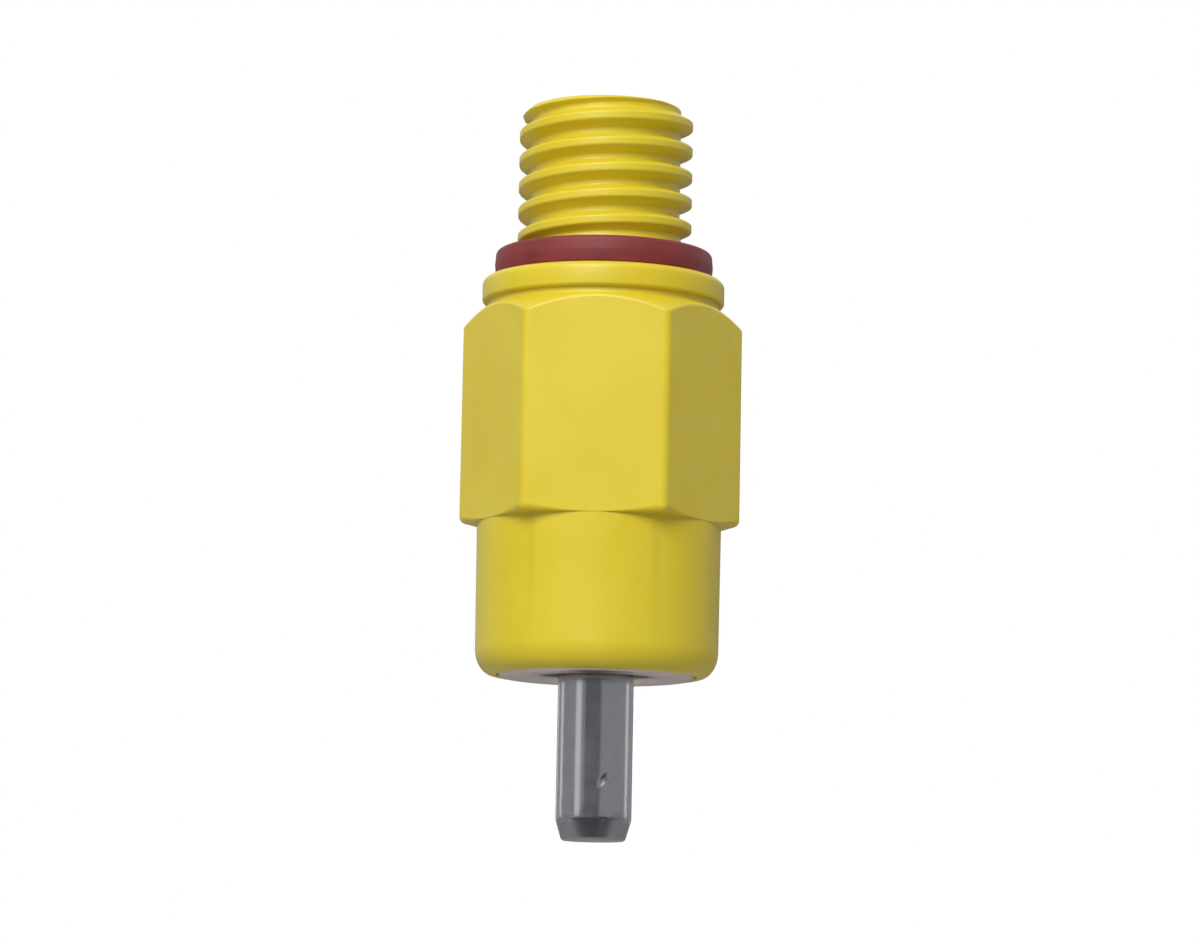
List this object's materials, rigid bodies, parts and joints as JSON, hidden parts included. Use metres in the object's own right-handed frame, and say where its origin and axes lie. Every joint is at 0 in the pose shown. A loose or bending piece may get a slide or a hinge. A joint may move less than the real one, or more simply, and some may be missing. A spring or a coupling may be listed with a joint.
{
  "type": "poultry nipple drinker",
  "caption": "Screw-in nipple drinker for poultry: hexagonal plastic housing with a threaded spigot, rubber pipe seal, steel valve casing, and a steel trigger pin that tilts and lifts.",
  "frame": {"origin": "on the drinker's axis at the top face of its rubber pipe seal, where the pipe's outer wall comes", "axes": "+Z along the threaded spigot, up into the pipe; the trigger pin hangs towards -Z; two of the hexagon's flats face -Y and +Y"},
  "size_m": [0.016, 0.014, 0.0421],
  "materials": {
    "yellow_plastic": "moulded yellow acetal, satin with a slight gloss",
    "red_rubber": "moulded red rubber, matt",
    "casing_steel": "turned stainless steel",
    "pin_steel": "turned and tumbled stainless steel, with small dents",
    "ball_steel": "polished stainless steel",
    "black_rubber": "moulded black rubber, matt",
    "white_plastic": "moulded natural acetal",
    "mesh_steel": "stainless steel mesh"
  },
  "bodies": {
    "housing": {"housing": "yellow_plastic", "pipe_seal": "red_rubber", "valve_casing": "casing_steel", "seat_disc": "casing_steel", "seat_washer": "black_rubber", "spacer_ring": "white_plastic", "ball_seat_carrier": "casing_steel", "ball_seal": "black_rubber", "ball_stop": "white_plastic", "filter_screen": "mesh_steel", "screen_retainer": "white_plastic"},
    "ball": {"valve_ball": "ball_steel"},
    "valve_pin": {"valve_pin": "pin_steel"},
    "trigger": {"trigger_pin": "pin_steel"}
  },
  "joints": [
    {"name": "valve_lift", "type": "slide", "parent": "housing", "child": "ball", "axis": [0, 0, 1], "range_m": [0, 0.0012]},
    {"name": "trigger_swivel", "type": "hinge", "parent": "ball", "child": "valve_pin", "pos_m": [0, 0, -0.01878], "axis": [0, 0, 1], "continuous": true},
    {"name": "trigger_tilt", "type": "hinge", "parent": "valve_pin", "child": "trigger", "pos_m": [0, 0, -0.01878], "axis": [0, 1, 0], "range_deg": [-10, 10]}
  ]
}
